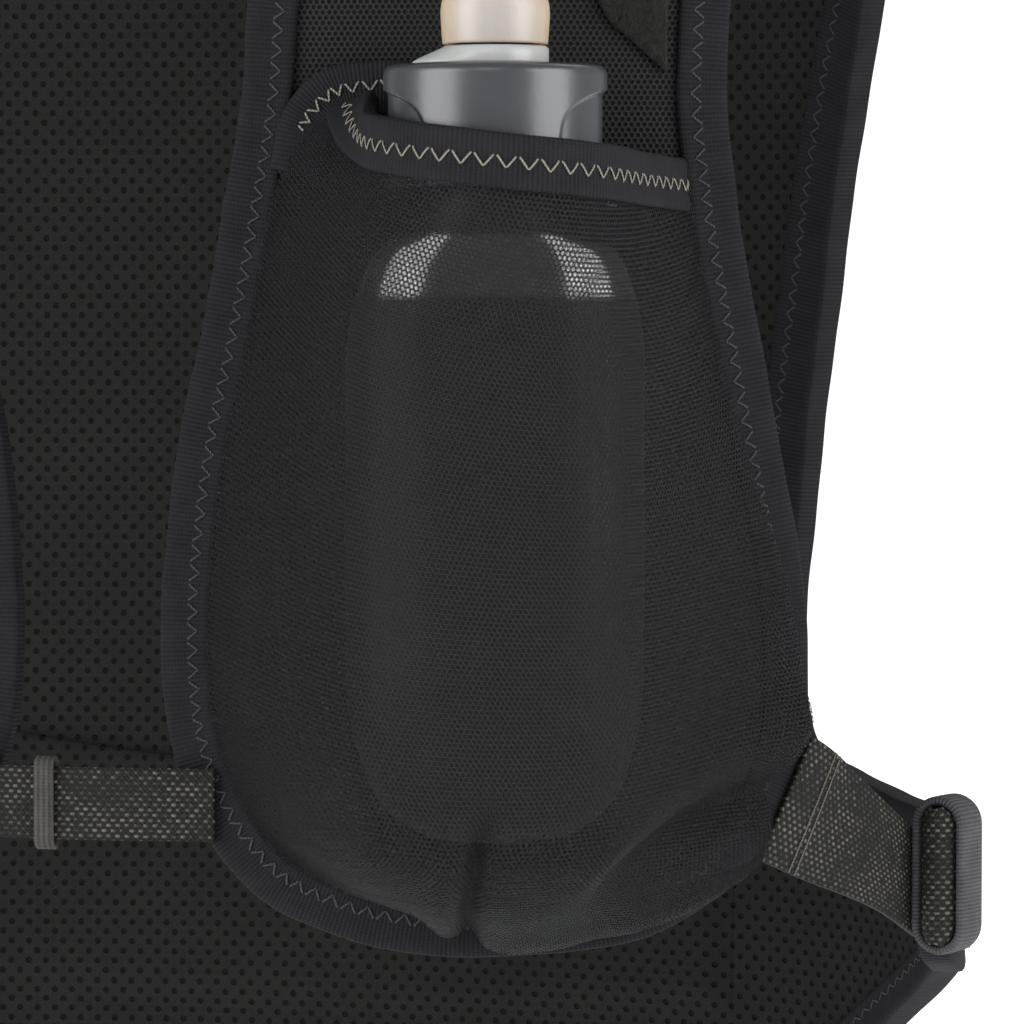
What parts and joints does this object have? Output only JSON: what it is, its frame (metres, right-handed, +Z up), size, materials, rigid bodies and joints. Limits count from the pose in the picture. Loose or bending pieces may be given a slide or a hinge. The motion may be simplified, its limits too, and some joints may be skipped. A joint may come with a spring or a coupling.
{
  "type": "running hydration vest",
  "caption": "Mesh running vest with an open neck and armholes, a soft flask in a see-through pocket on each chest panel, side straps and a sternum strap.",
  "frame": {"origin": "midway between the two shoulder straps, at the height where they rest on the shoulders", "axes": "+Z up as worn, -Y the way the wearer faces, +X the wearer's left"},
  "size_m": [0.3498, 0.2459, 0.3938],
  "materials": {
    "spacer_mesh": "matt knitted spacer mesh with staggered holes",
    "chest_mesh": "fine matt stretch mesh",
    "power_mesh": "fine see-through power mesh",
    "tape": "ribbed knit elastic tape",
    "pile": "fuzzy loop pile",
    "webbing": "woven webbing with light flecks",
    "knit": "plain knitted elastic",
    "clasp": "matt moulded plastic",
    "flask": "clear soft film",
    "cap": "translucent blue-grey plastic",
    "valve_seat": "satin white plastic",
    "bite_valve": "translucent cream silicone"
  },
  "bodies": {
    "vest": {"left_front_panel": "chest_mesh", "left_panel_binding": "tape", "left_flask_pocket": "power_mesh", "left_mouth_binding": "tape", "left_pocket_back": "power_mesh", "left_rear_lip": "tape", "left_flask_body": "flask", "left_loop_patch": "pile", "left_side_strap": "webbing", "left_side_loop": "knit", "left_strap_tail": "webbing", "left_loop_gather": "knit", "right_front_panel": "chest_mesh", "right_panel_binding": "tape", "right_flask_pocket": "power_mesh", "right_mouth_binding": "tape", "right_pocket_back": "power_mesh", "right_rear_lip": "tape", "right_flask_body": "flask", "right_loop_patch": "pile", "right_side_strap": "webbing", "right_side_loop": "knit", "right_strap_tail": "webbing", "right_loop_gather": "knit", "back_panel": "spacer_mesh", "back_binding": "tape", "neck_binding": "tape", "lumbar_panel": "spacer_mesh", "sternum_strap": "webbing", "sternum_keeper": "knit", "sternum_clasp": "clasp"},
    "left_cap": {"left_flask_cap": "cap", "left_valve_base": "valve_seat", "left_bite_valve": "bite_valve"},
    "right_cap": {"right_flask_cap": "cap", "right_valve_base": "valve_seat", "right_bite_valve": "bite_valve"}
  },
  "joints": [
    {"name": "left_cap_turn", "type": "hinge", "parent": "vest", "child": "left_cap", "pos_m": [0.09112, -0.1129, -0.1506], "axis": [0, 0, 1], "range_deg": [0, 450]},
    {"name": "right_cap_turn", "type": "hinge", "parent": "vest", "child": "right_cap", "pos_m": [-0.09112, -0.1129, -0.1506], "axis": [0, 0, 1], "range_deg": [0, 450]}
  ]
}
